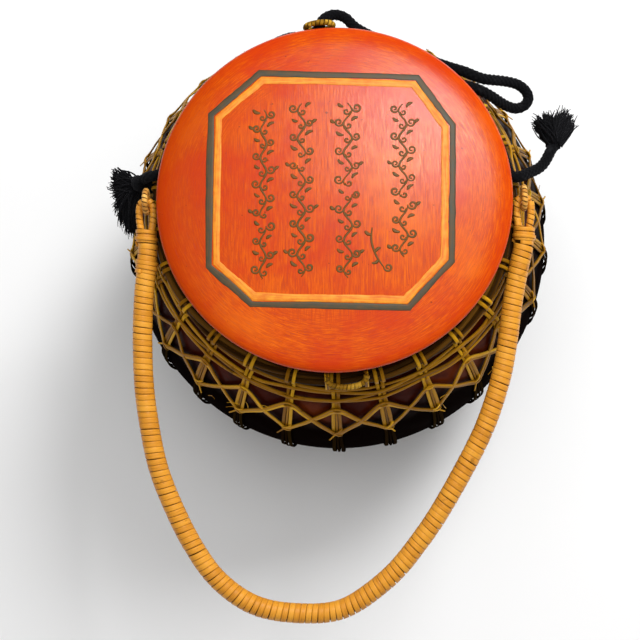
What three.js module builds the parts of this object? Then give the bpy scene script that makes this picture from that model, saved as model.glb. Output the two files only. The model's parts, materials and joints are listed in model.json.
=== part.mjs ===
// Lidded round bowl in an open cane carrier with a swinging cane-bound handle.
// Millimetres, +Z up. The origin is the centre of the bowl's flat bottom; the handle rests at the front, -Y.
import * as THREE from "three";

// ---- Driving dimensions ----
const BOWL_RADIUS = 155;
const BOWL_WALL = 5;
const BOWL_CENTRE_Z = 140;
const NECK_RADIUS = 112;
const NECK_WALL = 6;
const NECK_TOP_Z = 264.2;

const LID_RADIUS = 120;
const LID_RIM_Z = 272;
const LID_DOME = 8;
const LID_BASE_RADIUS = 116.5;
const SPIGOT_RADIUS = 104;
const SPIGOT_WALL = 9;
const SPIGOT_DEPTH = 10;

const GAP = 0.3;
const HOOK_GAP = 0.7;
const STAKE_COUNT = 26;
const STAKE_WIDTH = 6;
const STAKE_THICKNESS = 2.2;
const STAKE_LIFT = 0.9;
const NECK_HOOP_RADIUS = 121.5;
const FOOT_HOOP_RADIUS = 97;
const HOOP_THICKNESS = 9;
const STRAND_THICKNESS = 2.8;
const BAND_HEIGHTS = [233.5, 229, 224.5];
const ZIGZAG_TOP_Z = 219;
const ZIGZAG_BOTTOM_Z = 189;

const RING_ROD = 2.2;
const RING_HALF_HEIGHT = 7.2;
const SIDE_RING_X = 128;
const RING_RISE = 6.2;
const BACK_RING_AZIMUTH = THREE.MathUtils.degToRad(94.2);
const BACK_RING_RADIUS = 126;
const BACK_RING_HALF_WIDTH = 10.5;
const FRONT_RING_AZIMUTH = THREE.MathUtils.degToRad(-86.2);
const FRONT_RING_HALF_WIDTH = 12.5;
const FRONT_RING_SLOPE = THREE.MathUtils.degToRad(56);
const LASHING_WIDTH = 4;
const LASHING_THICKNESS = 0.9;

const HANDLE_TILT = THREE.MathUtils.degToRad(12);
const HANDLE_CORE_RADIUS = 4.6;
const HANDLE_RADIUS = 6.8;
const HANDLE_START = 27.3;
const EYE_ROD = 2.3;
const EYE_HALF_WIDTH = 4.8;
const EYE_LASHING_RADIUS = 7.2;
const EYE_LASHING_LENGTH = 5.5;

const CORD_RADIUS = 3.75;
const KNOT_RADIUS = 8;

// ---- Derived places ----
const FOOT_RADIUS = Math.sqrt(BOWL_RADIUS ** 2 - BOWL_CENTRE_Z ** 2);
const HOOP_ROD = HOOP_THICKNESS / 2;
const HOOP_REACH = BOWL_RADIUS + STAKE_LIFT + STAKE_THICKNESS + HOOK_GAP + HOOP_ROD;
const NECK_HOOP_Z = BOWL_CENTRE_Z + Math.sqrt(HOOP_REACH ** 2 - NECK_HOOP_RADIUS ** 2);
const FOOT_HOOP_Z = BOWL_CENTRE_Z - Math.sqrt(HOOP_REACH ** 2 - FOOT_HOOP_RADIUS ** 2);
const RING_FOOT_Z = NECK_HOOP_Z + RING_RISE;
const PIVOT_Z = RING_FOOT_Z + RING_HALF_HEIGHT;
const BAND_REACH = BOWL_RADIUS + STAKE_LIFT + STAKE_THICKNESS + GAP + STRAND_THICKNESS / 2 + 0.5;
const STAKE_STEP = (2 * Math.PI) / STAKE_COUNT;
const FRONT = -Math.PI / 2;

// ---- Materials ----
const material = (color, roughness) => new THREE.MeshStandardMaterial({ color, roughness, metalness: 0 });
const orangeLacquer = material(0xd9521c, 0.45);
const maroonLacquer = material(0x3a0c0a, 0.25);
const netCane = material(0xa8781e, 0.55);
const bindingCane = material(0xe0a040, 0.5);
const hoopCane = material(0x5b3d1a, 0.6);
const blackCotton = material(0x0c0c0d, 0.9);

// ---- Helpers ----
const root = new THREE.Group();
const handle = new THREE.Group();
handle.position.z = PIVOT_Z;
handle.rotation.x = HANDLE_TILT;
root.add(handle);

function addMesh(name, geometry, colour, parent = root) {
  const mesh = new THREE.Mesh(geometry, colour);
  mesh.name = name;
  parent.add(mesh);
  return mesh;
}

// A solid turned about the Z axis from [radius, z] points.
function turned(points, segments = 40) {
  const profile = points.map(([radius, z]) => new THREE.Vector2(radius, z));
  return new THREE.LatheGeometry(profile, segments).rotateX(Math.PI / 2);
}

// Points of a circle's arc in the [radius, z] plane, from one angle to another.
function arc(centreR, centreZ, radius, from, to, steps) {
  return Array.from({ length: steps + 1 }, (_, i) => {
    const angle = from + ((to - from) * i) / steps;
    return [centreR + radius * Math.cos(angle), centreZ + radius * Math.sin(angle)];
  });
}

function circle(radius, sides) {
  return new THREE.Shape(
    Array.from({ length: sides }, (_, i) => {
      const angle = (2 * Math.PI * i) / sides;
      return new THREE.Vector2(radius * Math.cos(angle), radius * Math.sin(angle));
    }),
  );
}

function tube(curve, radius, sides, steps, boreRadius = 0) {
  const section = circle(radius, sides);
  if (boreRadius) section.holes.push(circle(boreRadius, sides));
  return new THREE.ExtrudeGeometry(section, { steps, extrudePath: curve, bevelEnabled: false });
}

// A torus about the Z axis whose middle line is moved to [radius, z] = place(angle).
function bentHoop(rod, place, segments, sides = 4) {
  const geometry = new THREE.TorusGeometry(100, rod, sides, segments);
  const position = geometry.getAttribute("position");
  for (let i = 0; i < position.count; i++) {
    const angle = Math.atan2(position.getY(i), position.getX(i));
    const offset = Math.hypot(position.getX(i), position.getY(i)) - 100;
    const [radius, z] = place((angle + 2 * Math.PI) % (2 * Math.PI));
    position.setX(i, (radius + offset) * Math.cos(angle));
    position.setY(i, (radius + offset) * Math.sin(angle));
    position.setZ(i, z + position.getZ(i));
  }
  return geometry;
}

// A flat shape drawn in the [radius, z] plane, made `width` thick across the radial plane at `azimuth`.
function radialPlate(shape, width, azimuth) {
  return new THREE.ExtrudeGeometry(shape, { depth: width, bevelEnabled: false, curveSegments: 8 })
    .translate(0, 0, -width / 2)
    .rotateX(Math.PI / 2)
    .rotateZ(azimuth);
}

const reachAt = (z, reach) => Math.sqrt(reach ** 2 - (z - BOWL_CENTRE_Z) ** 2);

// ---- Bowl ----
function bowlProfile() {
  const footAngle = -Math.acos(FOOT_RADIUS / BOWL_RADIUS);
  const neckAngle = Math.acos(NECK_RADIUS / BOWL_RADIUS);
  const innerRadius = BOWL_RADIUS - BOWL_WALL;
  const innerNeck = NECK_RADIUS - NECK_WALL;
  const innerFoot = FOOT_RADIUS - BOWL_WALL;
  const innerTop = Math.acos(innerNeck / innerRadius);
  return [
    [0, 0],
    ...arc(0, BOWL_CENTRE_Z, BOWL_RADIUS, footAngle, neckAngle, 11),
    [NECK_RADIUS, NECK_TOP_Z],
    [innerNeck, NECK_TOP_Z],
    ...arc(0, BOWL_CENTRE_Z, innerRadius, innerTop, -Math.acos(innerFoot / innerRadius), 9),
    [0, BOWL_CENTRE_Z - Math.sqrt(innerRadius ** 2 - innerFoot ** 2)],
  ];
}
addMesh("bowl_shell", turned(bowlProfile()), maroonLacquer);

// ---- Lid ----
const lidBottomZ = NECK_TOP_Z + GAP;
const lidSplitZ = LID_RIM_Z - 5;
const domeRadius = LID_RADIUS - 8;
addMesh(
  "lid_disc",
  turned([
    [0, lidSplitZ],
    [LID_RADIUS - 2.5, lidSplitZ],
    [LID_RADIUS - 0.6, LID_RIM_Z - 3],
    [LID_RADIUS, LID_RIM_Z],
    [LID_RADIUS - 2, LID_RIM_Z + 2.4],
    [domeRadius, LID_RIM_Z + 4.2],
    [domeRadius * 0.6, LID_RIM_Z + LID_DOME - 1.4],
    [0, LID_RIM_Z + LID_DOME],
  ]),
  orangeLacquer,
);
addMesh(
  "lid_base",
  turned([
    [0, lidBottomZ],
    [LID_BASE_RADIUS, lidBottomZ],
    [LID_BASE_RADIUS, lidSplitZ - GAP],
    [0, lidSplitZ - GAP],
  ]),
  maroonLacquer,
);
addMesh(
  "lid_spigot",
  turned([
    [SPIGOT_RADIUS - SPIGOT_WALL, lidBottomZ - GAP],
    [SPIGOT_RADIUS - SPIGOT_WALL, lidBottomZ - SPIGOT_DEPTH],
    [SPIGOT_RADIUS, lidBottomZ - SPIGOT_DEPTH],
    [SPIGOT_RADIUS, lidBottomZ - GAP],
    [SPIGOT_RADIUS - SPIGOT_WALL, lidBottomZ - GAP],
  ]),
  maroonLacquer,
);

// ---- Cane net ----
const neckHoop = new THREE.TorusGeometry(NECK_HOOP_RADIUS, HOOP_ROD, 6, 52);
addMesh("neck_hoop", neckHoop.translate(0, 0, NECK_HOOP_Z), hoopCane);
const footHoop = new THREE.TorusGeometry(FOOT_HOOP_RADIUS, HOOP_ROD, 6, 52);
addMesh("foot_hoop", footHoop.translate(0, 0, FOOT_HOOP_Z), hoopCane);

// A doubled cane strip that lies up the bowl's side and hooks over the neck hoop and under the foot hoop.
function stakeShape() {
  const inner = BOWL_RADIUS + STAKE_LIFT;
  const outer = inner + STAKE_THICKNESS;
  const neckAngle = Math.atan2(NECK_HOOP_Z - BOWL_CENTRE_Z, NECK_HOOP_RADIUS);
  const footAngle = Math.atan2(FOOT_HOOP_Z - BOWL_CENTRE_Z, FOOT_HOOP_RADIUS);
  const hookInner = HOOP_ROD + HOOK_GAP;
  const hookOuter = hookInner + STAKE_THICKNESS;
  const hookTurn = THREE.MathUtils.degToRad(155);
  const neckFrom = neckAngle + Math.PI;
  const footFrom = footAngle + Math.PI;
  const hookClear = 0.12;
  const outline = [
    ...arc(0, BOWL_CENTRE_Z, inner, footAngle, neckAngle, 8),
    ...arc(NECK_HOOP_RADIUS, NECK_HOOP_Z, hookOuter, neckFrom - 0.25, neckFrom - hookTurn, 5),
    ...arc(NECK_HOOP_RADIUS, NECK_HOOP_Z, hookInner, neckFrom - hookTurn, neckFrom, 5),
    ...arc(0, BOWL_CENTRE_Z, outer, neckAngle - hookClear, footAngle + hookClear, 8),
    ...arc(FOOT_HOOP_RADIUS, FOOT_HOOP_Z, hookInner, footFrom, footFrom + hookTurn, 5),
    ...arc(FOOT_HOOP_RADIUS, FOOT_HOOP_Z, hookOuter, footFrom + hookTurn, footFrom + 0.25, 5),
  ];
  return new THREE.Shape(outline.map(([radius, z]) => new THREE.Vector2(radius, z)));
}
for (let i = 0; i < STAKE_COUNT; i++) {
  const name = `stake_${String(i + 1).padStart(2, "0")}`;
  addMesh(name, radialPlate(stakeShape(), STAKE_WIDTH, FRONT + i * STAKE_STEP), netCane);
}

BAND_HEIGHTS.forEach((z, i) => {
  const place = () => [reachAt(z, BAND_REACH), z];
  addMesh(`band_strand_${i + 1}`, bentHoop(STRAND_THICKNESS / 2, place, 40), netCane);
});

// Two zigzag strands: one is high where the other is low, and they cross midway between stakes.
["zigzag_inner", "zigzag_outer"].forEach((name, layer) => {
  const place = (angle) => {
    const step = Math.round((angle - FRONT) / (STAKE_STEP / 2));
    const level = [1, 0.5, 0, 0.5][(((step + 2 * layer) % 4) + 4) % 4];
    const z = ZIGZAG_BOTTOM_Z + (ZIGZAG_TOP_Z - ZIGZAG_BOTTOM_Z) * level;
    return [reachAt(z, BAND_REACH + layer * (STRAND_THICKNESS + GAP + 0.6)), z];
  };
  addMesh(name, bentHoop(STRAND_THICKNESS / 2, place, STAKE_COUNT * 2), netCane);
});

// ---- Cane-wound ring loops, lashed to the neck hoop where their rod passes `foot`, a [radius, z] ----
const sideRing = {
  foot: [SIDE_RING_X, RING_FOOT_Z],
  halfWidth: RING_HALF_HEIGHT,
  halfHeight: RING_HALF_HEIGHT,
  lean: 0,
};
const RINGS = [
  { side: "right", azimuth: 0, ...sideRing },
  { side: "left", azimuth: Math.PI, ...sideRing },
  {
    side: "back",
    azimuth: BACK_RING_AZIMUTH,
    foot: [BACK_RING_RADIUS, NECK_HOOP_Z + 8.6],
    halfWidth: BACK_RING_HALF_WIDTH,
    halfHeight: RING_HALF_HEIGHT,
    lean: 0,
  },
  {
    side: "front",
    azimuth: FRONT_RING_AZIMUTH,
    foot: [NECK_HOOP_RADIUS, NECK_HOOP_Z + 12.1],
    halfWidth: FRONT_RING_HALF_WIDTH,
    halfHeight: 7.8,
    lean: Math.PI - FRONT_RING_SLOPE,
  },
];
function lashingShape([footRadius, footZ]) {
  const hoopClear = HOOP_ROD + HOOK_GAP;
  const ringClear = RING_ROD + 1.6 * GAP;
  const across = footRadius - NECK_HOOP_RADIUS;
  const rise = footZ - NECK_HOOP_Z;
  const lean = Math.atan2(rise, across);
  const spread = Math.PI / 2 - Math.asin((hoopClear - ringClear) / Math.hypot(across, rise));
  const bound = (grow) => {
    const hoopSide = arc(
      NECK_HOOP_RADIUS, NECK_HOOP_Z, hoopClear + grow, lean + spread, lean + 2 * Math.PI - spread, 8,
    );
    const ringSide = arc(footRadius, footZ, ringClear + grow, lean - spread, lean + spread, 6);
    return [...hoopSide, ...ringSide].map(([radius, z]) => new THREE.Vector2(radius, z));
  };
  const shape = new THREE.Shape(bound(LASHING_THICKNESS));
  shape.holes.push(new THREE.Path(bound(0)));
  return shape;
}
for (const { side, azimuth, foot, halfWidth, halfHeight, lean } of RINGS) {
  const ring = new THREE.TorusGeometry(halfHeight, RING_ROD, 6, 16)
    .scale(halfWidth / halfHeight, 1, 1)
    .rotateX(Math.PI / 2)
    .rotateZ(Math.PI / 2)
    .translate(0, 0, halfHeight)
    .rotateY(lean)
    .translate(foot[0], 0, foot[1])
    .rotateZ(azimuth);
  addMesh(`ring_loop_${side}`, ring, bindingCane);
  addMesh(`ring_lashing_${side}`, radialPlate(lashingShape(foot), LASHING_WIDTH, azimuth), netCane);
}

// ---- Handle: drawn flat in its own plane, x across and `reach` away from the pivots ----
const inHandle = ([x, reach]) => new THREE.Vector3(x, -reach, 0);
const HANDLE_ROUTE = [
  [-SIDE_RING_X, HANDLE_START],
  [-SIDE_RING_X, HANDLE_START + 5],
  [-128.8, 46],
  [-130.6, 67],
  [-131.9, 97],
  [-130.4, 131],
  [-122.6, 176],
  [-113.2, 203.5],
  [-100, 231],
  [-79.7, 259],
  [-56, 275.5],
  [-25, 281],
  [4, 278],
  [33.4, 258.3],
  [56.6, 231],
  [74.4, 204],
  [99.5, 157],
  [111, 123],
  [116, 97],
  [121, 65],
  [124.8, 46],
  [SIDE_RING_X, HANDLE_START + 5],
  [SIDE_RING_X, HANDLE_START],
];
const handleCurve = new THREE.CatmullRomCurve3(HANDLE_ROUTE.map(inHandle), false, "centripetal");
addMesh("handle_core", tube(handleCurve, HANDLE_CORE_RADIUS, 6, 36), hoopCane, handle);
const binding = tube(handleCurve, HANDLE_RADIUS, 8, 36, HANDLE_CORE_RADIUS + 0.7);
addMesh("handle_binding", binding, bindingCane, handle);

// A teardrop eye at each end of the handle: one rod that runs out, round through the ring loop and back.
function eyeCurve(x) {
  const sideRoute = [
    [2.8, HANDLE_START - GAP],
    [3.6, 20],
    [4.6, 13.5],
    [EYE_HALF_WIDTH, 8],
    [EYE_HALF_WIDTH * 0.9, 2.8],
    [EYE_HALF_WIDTH * 0.5, 0.3],
  ];
  const route = [
    ...sideRoute.map(([offset, reach]) => [x - offset, reach]),
    [x, -0.4],
    ...sideRoute.reverse().map(([offset, reach]) => [x + offset, reach]),
  ];
  return new THREE.CatmullRomCurve3(route.map(inHandle));
}
function sleeve(innerRadius, outerRadius, length) {
  return turned(
    [
      [innerRadius, 0],
      [outerRadius, 0],
      [outerRadius, length],
      [innerRadius, length],
      [innerRadius, 0],
    ],
    16,
  ).rotateX(Math.PI / 2);
}
for (const [side, x] of [
  ["left", -SIDE_RING_X],
  ["right", SIDE_RING_X],
]) {
  addMesh(`handle_eye_${side}`, tube(eyeCurve(x), EYE_ROD, 6, 20), bindingCane, handle);
  const lashing = addMesh(
    `eye_lashing_${side}`,
    sleeve(EYE_LASHING_RADIUS - 1, EYE_LASHING_RADIUS, EYE_LASHING_LENGTH),
    bindingCane,
    handle,
  );
  lashing.position.set(x, EYE_LASHING_LENGTH + GAP - HANDLE_START, 0);
}
const BAND_AT = 0.027;
const bandSleeve = sleeve(HANDLE_RADIUS + 2 * GAP, HANDLE_RADIUS + 1.9, 6);
const band = addMesh("binding_band", bandSleeve, bindingCane, handle);
band.position.copy(handleCurve.getPointAt(BAND_AT));
band.quaternion.setFromUnitVectors(new THREE.Vector3(0, -1, 0), handleCurve.getTangentAt(BAND_AT));

// ---- Tie cord: from the knot by the left ring, round the back under the lid, out as a bight, to the tail ----
const KNOT_CENTRE = [-132.6, 17.6, 244.3];
const CORD_ROUTE = [
  [-131, 18.5, 254.3],
  [-127, 18.5, 259.5],
  [-122, 19, 260.7],
  [-117.5, 21, 260.2],
  [-112.5, 36, 260.1],
  [-99, 65, 260.1],
  [-77, 90, 260.1],
  [-48, 109.5, 260.3],
  [-31, 117.2, 261],
  [-20.5, 117.6, 260.9],
  [-14.5, 118.1, 261.1],
  [-11.6, 121.2, 263.8],
  [-9, 125.7, 265.8],
  [-6.2, 129.6, 265],
  [0, 133.2, 262.6],
  [7.2, 132, 260.9],
  [16, 123.8, 260.6],
  [58, 103.2, 260.4],
  [78, 95.2, 260.2],
  [90.5, 91, 260.1],
  [97, 88.5, 259],
  [103, 87.4, 256.3],
  [119.6, 88.8, 246.5],
  [128.4, 88.3, 241],
  [134, 84.9, 237.5],
  [135.9, 80.3, 236],
  [133.7, 75.4, 236],
  [128.1, 72.6, 236.5],
  [121.2, 72.6, 240.5],
  [107, 76.2, 254.5],
  [101.3, 77.9, 258.6],
  [95.5, 79.8, 260.2],
  [86.8, 81.6, 260.1],
  [95, 71, 260.1],
  [113, 36, 260.1],
  [120.3, 16.3, 260.5],
  [124.8, 15.6, 260.2],
  [131, 18.9, 256],
  [142.6, 27.3, 247.6],
  [151.6, 43.2, 242],
];
const toVector = ([x, y, z]) => new THREE.Vector3(x, y, z);
const cordCurve = new THREE.CatmullRomCurve3(CORD_ROUTE.map(toVector), false, "centripetal");
addMesh("tie_cord", tube(cordCurve, CORD_RADIUS, 8, 80), blackCotton);
const knot = new THREE.SphereGeometry(KNOT_RADIUS, 10, 8);
addMesh("tie_cord_knot", knot.translate(...KNOT_CENTRE), blackCotton);

// Frayed cotton brushes: short flaring bundles that start at the cord's two ends.
function brush(from, to, startRadius, endRadius) {
  const axis = toVector(to).sub(toVector(from));
  const length = axis.length();
  const geometry = turned(
    [
      [0, 0],
      [startRadius, 0],
      [endRadius, length * 0.75],
      [endRadius * 0.7, length],
      [0, length],
    ],
    10,
  );
  const turn = new THREE.Quaternion().setFromUnitVectors(new THREE.Vector3(0, 0, 1), axis.normalize());
  return geometry.applyQuaternion(turn).translate(...from);
}
addMesh("frayed_end_left", brush([-140.6, 14, 238], [-155, 5, 228], 4.5, 13), blackCotton);
addMesh("frayed_end_right", brush([153, 46.4, 240.8], [155, 68, 235], 4, 11), blackCotton);

export default root;
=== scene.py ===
"""Looks of a lidded bowl in an open cane carrier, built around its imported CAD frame.

Shapes are worked out in millimetres, in the frame's own axes (+Z up, -Y front). Pile.make turns them into metres.
"""

import json
import math

import bmesh
import bpy
import numpy as np
from mathutils import Matrix, Vector


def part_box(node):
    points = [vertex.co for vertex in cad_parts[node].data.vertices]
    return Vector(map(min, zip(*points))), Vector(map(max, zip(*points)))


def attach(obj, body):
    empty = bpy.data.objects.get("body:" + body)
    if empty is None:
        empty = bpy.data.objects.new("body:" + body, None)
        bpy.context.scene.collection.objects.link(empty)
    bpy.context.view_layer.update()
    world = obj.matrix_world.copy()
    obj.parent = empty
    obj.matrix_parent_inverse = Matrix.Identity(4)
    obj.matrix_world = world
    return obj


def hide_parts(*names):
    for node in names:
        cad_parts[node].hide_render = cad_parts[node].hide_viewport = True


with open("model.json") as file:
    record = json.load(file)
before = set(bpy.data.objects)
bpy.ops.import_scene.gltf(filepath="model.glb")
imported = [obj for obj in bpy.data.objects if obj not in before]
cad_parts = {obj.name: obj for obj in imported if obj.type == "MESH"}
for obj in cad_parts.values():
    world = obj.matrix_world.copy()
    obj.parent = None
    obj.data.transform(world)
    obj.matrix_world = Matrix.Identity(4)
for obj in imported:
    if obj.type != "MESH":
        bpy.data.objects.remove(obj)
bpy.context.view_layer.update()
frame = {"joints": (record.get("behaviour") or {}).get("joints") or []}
MM = 0.001
random = np.random.default_rng(11)


# ---- Sizes, from the frame where it holds them ----
def corners(node):
    """The low and high corners of a CAD node's box."""
    low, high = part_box(node)
    return np.array(low) / MM, np.array(high) / MM


def hoop_size(node):
    """A hoop's radius, to the middle of its rod, and its height."""
    low, high = corners(node)
    return high[0] - HOOP_ROD, (low[2] + high[2]) / 2


HOOP_ROD = 4.5
BOWL_RADIUS, _, NECK_TOP_Z = corners("bowl_shell")[1]
BOWL_CENTRE_Z = 140.0
BOWL_WALL = 5.0
NECK_RADIUS = 112.0
NECK_WALL = 6.0
FOOT_RADIUS = math.sqrt(BOWL_RADIUS**2 - BOWL_CENTRE_Z**2)
LID_TOP_Z = corners("lid_disc")[1][2]
NECK_HOOP = NECK_HOOP_RADIUS, NECK_HOOP_Z = hoop_size("neck_hoop")
FOOT_HOOP = hoop_size("foot_hoop")
STAKE_COUNT = 26
STAKE_STEP = 2 * math.pi / STAKE_COUNT
FRONT = -math.pi / 2
PIVOT_Z = next(joint for joint in frame["joints"] if joint["name"] == "handle_swing")["pos_m"][2] / MM
SIDE_RING_X = sum(corner[0] for corner in corners("ring_loop_right")) / 2
HANDLE_TILT = math.radians(12)
HANDLE_RADIUS = 6.8
HANDLE_START = 27.3
RING_ROD = 2.2
CORD_DIAMETER = 7.5


# ---- Vector helpers ----
def unit(vectors):
    return vectors / np.maximum(np.linalg.norm(vectors, axis=-1, keepdims=True), 1e-9)


def directions(points, closed=False):
    """The unit direction of travel at each point of a path."""
    if closed:
        return unit(np.roll(points, -1, axis=0) - np.roll(points, 1, axis=0))
    return unit(np.gradient(points, axis=0))


def smooth_path(points, spacing):
    """An open centripetal Catmull-Rom curve through the points, sampled about every `spacing`."""
    points = np.asarray(points, float)
    ends = np.vstack([2 * points[0] - points[1], points, 2 * points[-1] - points[-2]])
    dense = []
    for p0, p1, p2, p3 in zip(ends, ends[1:], ends[2:], ends[3:]):
        d0, d1, d2 = (math.sqrt(max(np.linalg.norm(b - a), 1e-6)) for a, b in ((p0, p1), (p1, p2), (p2, p3)))
        start = ((p1 - p0) / d0 - (p2 - p0) / (d0 + d1) + (p2 - p1) / d1) * d1
        end = ((p2 - p1) / d1 - (p3 - p1) / (d1 + d2) + (p3 - p2) / d2) * d1
        t = np.linspace(0, 1, 40, endpoint=False)[:, None]
        curve = 2 * p1 - 2 * p2 + start + end
        bend = -3 * p1 + 3 * p2 - 2 * start - end
        dense.append(((curve * t + bend) * t + start) * t + p1)
    dense.append(points[-1:])
    return evenly(np.vstack(dense), spacing)


def evenly(points, spacing):
    """The same path with its points about `spacing` apart."""
    reach = travelled(points)
    count = max(3, int(round(reach[-1] / spacing)) + 1)
    return sample(points, reach, np.linspace(0, reach[-1], count))


def sample(values, reach, wanted):
    """Rows that are known at some distances along a path, read at others."""
    return np.stack([np.interp(wanted, reach, axis) for axis in values.T], axis=1)


def travelled(points):
    """The distance along a path at each of its points."""
    return np.concatenate([[0], np.cumsum(np.linalg.norm(np.diff(points, axis=0), axis=1))])


def wander(count, step, amount, closed=False):
    """A smooth random line of `count` values, which turns about every `step` of them."""
    knots = max(4, int(count / step))
    values = random.normal(0, amount, knots)
    if closed:
        values = np.append(values, values[0])
    place = np.linspace(0, len(values) - 1, count, endpoint=not closed)
    low = np.minimum(place.astype(int), len(values) - 2)
    part = place - low
    ease = part * part * (3 - 2 * part)
    return values[low] * (1 - ease) + values[low + 1] * ease


def superellipse(sides, flatness):
    """A closed section: an ellipse at flatness 1, nearer a rectangle as it falls."""
    angle = np.linspace(0, 2 * math.pi, sides, endpoint=False)
    across = np.sign(np.cos(angle)) * np.abs(np.cos(angle)) ** flatness
    up = np.sign(np.sin(angle)) * np.abs(np.sin(angle)) ** flatness
    return across, up


ROUND_SECTION = superellipse(10, 1.0)
FIBRE_SECTION = superellipse(4, 1.0)
BRUSH_SECTION = superellipse(6, 1.0)
FLAT_CANE = superellipse(8, 0.6)
WOUND_CANE = superellipse(10, 0.42)


def per_point(value, path):
    """One value, or one for each point of a path, shaped to scale its rings."""
    return np.broadcast_to(np.asarray(value, float), len(path))[:, None, None]


def round_axis(flat, azimuth, z):
    """Points `flat` out from the object's axis at azimuths and heights."""
    flat, azimuth, z = np.broadcast_arrays(flat, azimuth, z)
    return np.stack([flat * np.cos(azimuth), flat * np.sin(azimuth), z], axis=-1)


def hump(values, width):
    """A smooth hump: 1 where a value is 0, and low beyond the width."""
    return np.exp(-((values / width) ** 2))


class Pile:
    """Gathers strips, tubes and turned shells into one mesh. Its points keep (across, along, tint)."""

    def __init__(self):
        self.points = []
        self.faces = []
        self.grain = []
        self.count = 0

    def skin(self, rings, across, along, tint, closed=False):
        """Joins a row of equal rings of points with faces."""
        rows, sides = rings.shape[:2]
        index = np.arange(rows * sides).reshape(rows, sides) + self.count
        here = index if closed else index[:-1]
        there = np.roll(index, -1, axis=0) if closed else index[1:]
        quads = np.stack([here, there, np.roll(there, -1, axis=1), np.roll(here, -1, axis=1)], axis=-1)
        self.faces.append(quads.reshape(-1, 4))
        if not closed:
            low = np.arange(sides // 2 - 1)
            across_cap = np.stack([low, low + 1, sides - 2 - low, sides - 1 - low], axis=-1)
            for ring, turn in ((index[0], 1), (index[-1], -1)):
                self.faces.append(ring[across_cap][:, ::turn])
        grain = np.empty((rows, sides, 3))
        grain[..., 0] = across
        grain[..., 1] = np.reshape(along, (-1, 1))
        grain[..., 2] = np.reshape(tint, (-1, 1))
        self.points.append(rings.reshape(-1, 3))
        self.grain.append(grain.reshape(-1, 3))
        self.count += rows * sides

    def strip(self, path, outward, width, thickness, tint=0.5, closed=False, section=FLAT_CANE):
        """A strip along a path that lies flat against whatever faces `outward`."""
        tangent = directions(path, closed)
        side = unit(np.cross(tangent, outward))
        rise = np.cross(side, tangent)
        across, up = section
        rings = path[:, None] + side[:, None] * across[:, None] * per_point(width, path) / 2
        rings = rings + rise[:, None] * up[:, None] * per_point(thickness, path) / 2
        self.skin(rings, across, travelled(path), tint, closed)

    def tube(self, path, radius, tint=0.5, section=ROUND_SECTION):
        """A rod along a path, with one radius or one for each point."""
        spine = Spine(path)
        across, up = section
        outward = spine.side[:, None] * across[:, None] + spine.rise[:, None] * up[:, None]
        self.skin(path[:, None] + per_point(radius, path) * outward, across, spine.reach, tint)

    def turned(self, profile, segments):
        """A shell turned about Z from [radius, z] points."""
        radius, z = np.asarray(profile, float).T
        angle = np.linspace(0, 2 * math.pi, segments, endpoint=False)
        self.skin(round_axis(radius, angle[:, None], z), 0, angle, 0.5, closed=True)

    def make(self, name, finish, *nodes, body="carrier", merge=False):
        """One mesh piece with a finish that rides on `body` and stands for CAD `nodes`."""
        material, slot = finish
        mesh = bpy.data.meshes.new(name)
        points = np.vstack(self.points) * MM
        mesh.from_pydata(points.tolist(), [], np.vstack(self.faces).tolist())
        grain = mesh.attributes.new("grain", "FLOAT_VECTOR", "POINT")
        grain.data.foreach_set("vector", np.vstack(self.grain).astype(np.float32).ravel())
        mesh.materials.append(material)
        if merge:
            merge_poles(mesh)
        mesh.shade_smooth()
        piece = bpy.data.objects.new(name, mesh)
        bpy.context.scene.collection.objects.link(piece)
        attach(piece, body)
        if nodes:
            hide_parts(*nodes)
        return piece


class Spine:
    """A path with a frame that travels along it without twisting."""

    def __init__(self, points):
        self.points = np.asarray(points, float)
        self.reach = travelled(self.points)
        self.tangent = directions(self.points)
        rise = np.eye(3)[np.argmin(np.abs(self.tangent[0]))]
        rises = []
        for tangent in self.tangent:
            rise = unit(rise - tangent * rise.dot(tangent))
            rises.append(rise)
        self.rise = np.array(rises)
        self.side = np.cross(self.tangent, self.rise)

    def at(self, distance):
        """Points, side vectors and rise vectors at distances along the path."""
        point, side, rise = (sample(rows, self.reach, distance) for rows in (self.points, self.side, self.rise))
        return point, unit(side), unit(rise)


def merge_poles(mesh):
    """Joins the points that a turned shell has on its axis."""
    work = bmesh.new()
    work.from_mesh(mesh)
    bmesh.ops.remove_doubles(work, verts=work.verts, dist=1e-6)
    bmesh.ops.dissolve_degenerate(work, edges=work.edges, dist=1e-7)
    work.to_mesh(mesh)
    work.free()


def wind(pile, spine, radius, pitch, width, thickness, start=0.0, end=None, uneven=0.0, per_turn=18):
    """Winds one strip round a spine, a turn every `pitch`. Turns shift, lean and change shade by chance."""
    end = spine.reach[-1] if end is None else end
    turns = max(1.0, (end - start - width) / pitch)
    turn = np.linspace(0, turns, int(turns * per_turn) + 1)
    angle = 2 * math.pi * turn - math.pi / 2
    known = np.arange(int(turns) + 3)
    shift = np.interp(turn, known, random.normal(0, uneven, len(known)))
    lean = np.interp(turn, known, random.normal(0, 1.6 * uneven, len(known)))
    swell = np.interp(turn, known, random.normal(0, 0.35 * uneven, len(known)))
    tint = random.uniform(0, 1, len(known))[turn.astype(int)]
    place = start + width / 2 + turn * pitch + shift + lean * np.cos(angle)
    centre, side, rise = spine.at(np.clip(place, start, end))
    outward = side * np.cos(angle)[:, None] + rise * np.sin(angle)[:, None]
    path = centre + outward * (radius + swell)[:, None]
    pile.strip(path, outward, width, thickness, tint, section=WOUND_CANE)


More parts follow.
